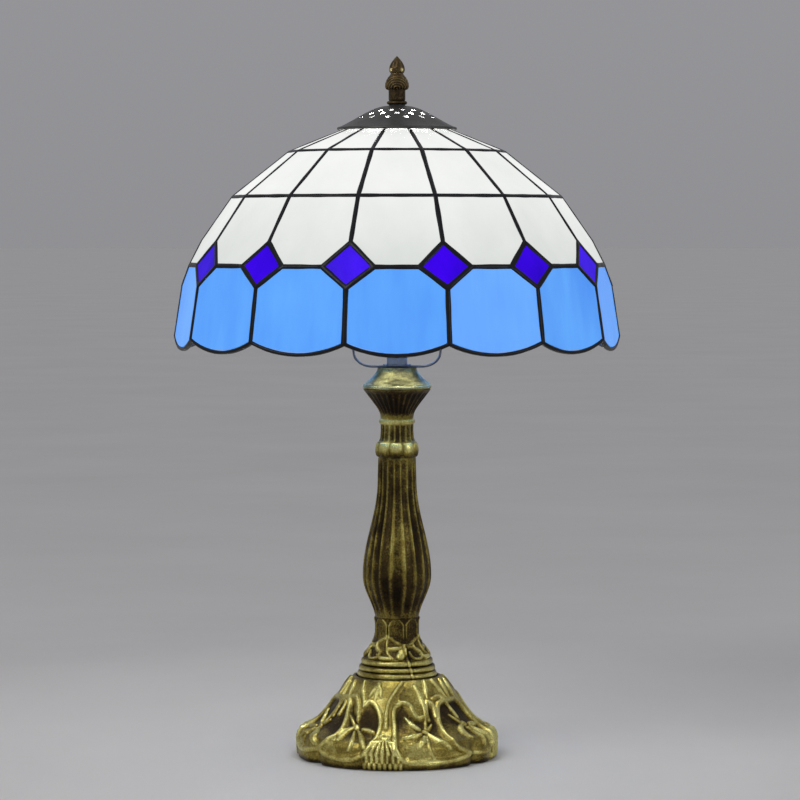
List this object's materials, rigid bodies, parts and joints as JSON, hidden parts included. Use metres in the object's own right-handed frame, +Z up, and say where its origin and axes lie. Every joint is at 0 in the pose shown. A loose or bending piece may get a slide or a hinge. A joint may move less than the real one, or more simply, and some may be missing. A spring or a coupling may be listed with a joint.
{
  "type": "table lamp",
  "caption": "Table lamp: faceted dome shade of leaded white glass with cobalt diamonds and a scalloped blue skirt, on a harp and a cast, fluted baluster stand.",
  "frame": {"origin": "centre of the foot's underside, on the surface the lamp stands on", "axes": "+Z up along the lamp's axis; the front faces -Y; a shade panel is centred on -Y"},
  "size_m": [0.3062, 0.3008, 0.4804],
  "materials": {
    "felt": "dark green pressed felt",
    "cast_stand": "cast zinc alloy, antique brass wash, dark in the recesses",
    "harp_steel": "bent steel strap, dark zinc plating",
    "zinc_steel": "zinc-plated steel",
    "black_plastic": "black moulded plastic, fine matt",
    "ceramic": "glazed off-white ceramic",
    "contact_brass": "pressed brass",
    "bulb_metal": "nickel-plated, bright",
    "bulb_plastic": "white moulded plastic",
    "bulb_diffuser": "frosted white diffuser",
    "board": "white printed circuit board with small light chips",
    "dark_cap": "spun metal, dark patina",
    "cast_finial": "cast zinc alloy, dark bronze with rubbed highlights",
    "lead": "lead and solder lines, black patina",
    "white_glass": "opalescent white glass, faintly wispy",
    "blue_glass": "sky-blue art glass, lightly streaked",
    "cobalt_glass": "deep cobalt glass"
  },
  "bodies": {
    "stand": {"felt_pad": "felt", "foot": "cast_stand", "column": "cast_stand", "stem_cap": "cast_stand", "threaded_rod": "zinc_steel", "base_nut": "zinc_steel", "base_washer": "zinc_steel", "cord_bushing": "black_plastic", "harp": "harp_steel", "toothed_washer": "zinc_steel", "neck_nut": "zinc_steel", "holder_cap": "black_plastic", "holder_body": "black_plastic", "holder_insert": "ceramic", "screw_shell": "contact_brass", "centre_contact": "contact_brass", "terminal_screws": "zinc_steel", "harp_stud": "zinc_steel"},
    "bulb_tip": {"bulb_contact": "bulb_metal"},
    "bulb": {"bulb_insulator": "black_plastic", "bulb_screw_cap": "bulb_metal", "bulb_housing": "bulb_plastic", "led_board": "board", "bulb_dome": "bulb_diffuser"},
    "seat": {"seat_washer": "zinc_steel"},
    "shade": {"vase_cap": "dark_cap", "top_row": "white_glass", "second_row": "white_glass", "third_row": "white_glass", "came": "lead", "diamond_01": "cobalt_glass", "diamond_02": "cobalt_glass", "diamond_03": "cobalt_glass", "diamond_04": "cobalt_glass", "diamond_05": "cobalt_glass", "diamond_06": "cobalt_glass", "diamond_07": "cobalt_glass", "diamond_08": "cobalt_glass", "diamond_09": "cobalt_glass", "diamond_10": "cobalt_glass", "diamond_11": "cobalt_glass", "diamond_12": "cobalt_glass", "diamond_13": "cobalt_glass", "diamond_14": "cobalt_glass", "skirt_panel_01": "blue_glass", "skirt_panel_02": "blue_glass", "skirt_panel_03": "blue_glass", "skirt_panel_04": "blue_glass", "skirt_panel_05": "blue_glass", "skirt_panel_06": "blue_glass", "skirt_panel_07": "blue_glass", "skirt_panel_08": "blue_glass", "skirt_panel_09": "blue_glass", "skirt_panel_10": "blue_glass", "skirt_panel_11": "blue_glass", "skirt_panel_12": "blue_glass", "skirt_panel_13": "blue_glass", "skirt_panel_14": "blue_glass"},
    "finial_seat": {"finial_washer": "black_plastic"},
    "finial": {"finial": "cast_finial"}
  },
  "joints": [
    {"name": "shade_turn", "type": "hinge", "parent": "stand", "child": "seat", "pos_m": [0, 0, 0.441], "axis": [0, 0, 1], "continuous": true},
    {"name": "shade_lift", "type": "slide", "parent": "seat", "child": "shade", "axis": [0, 0, 1], "range_m": [0, 0.17]},
    {"name": "finial_rise", "type": "slide", "parent": "shade", "child": "finial_seat", "axis": [0, 0, 1], "range_m": [0, 0.01]},
    {"name": "finial_turn", "type": "hinge", "parent": "finial_seat", "child": "finial", "pos_m": [0, 0, 0.447], "axis": [0, 0, 1], "range_deg": [0, 3600]},
    {"name": "bulb_rise", "type": "slide", "parent": "stand", "child": "bulb_tip", "axis": [0, 0, 1], "range_m": [0, 0.0254]},
    {"name": "bulb_turn", "type": "hinge", "parent": "bulb_tip", "child": "bulb", "pos_m": [0, 0, 0.298], "axis": [0, 0, 1], "range_deg": [0, 2520]}
  ],
  "couplings": [
    {"joint": "finial_turn", "follows": "finial_rise", "rad_per_m": 6283.2},
    {"joint": "bulb_turn", "follows": "bulb_rise", "rad_per_m": 1731}
  ]
}
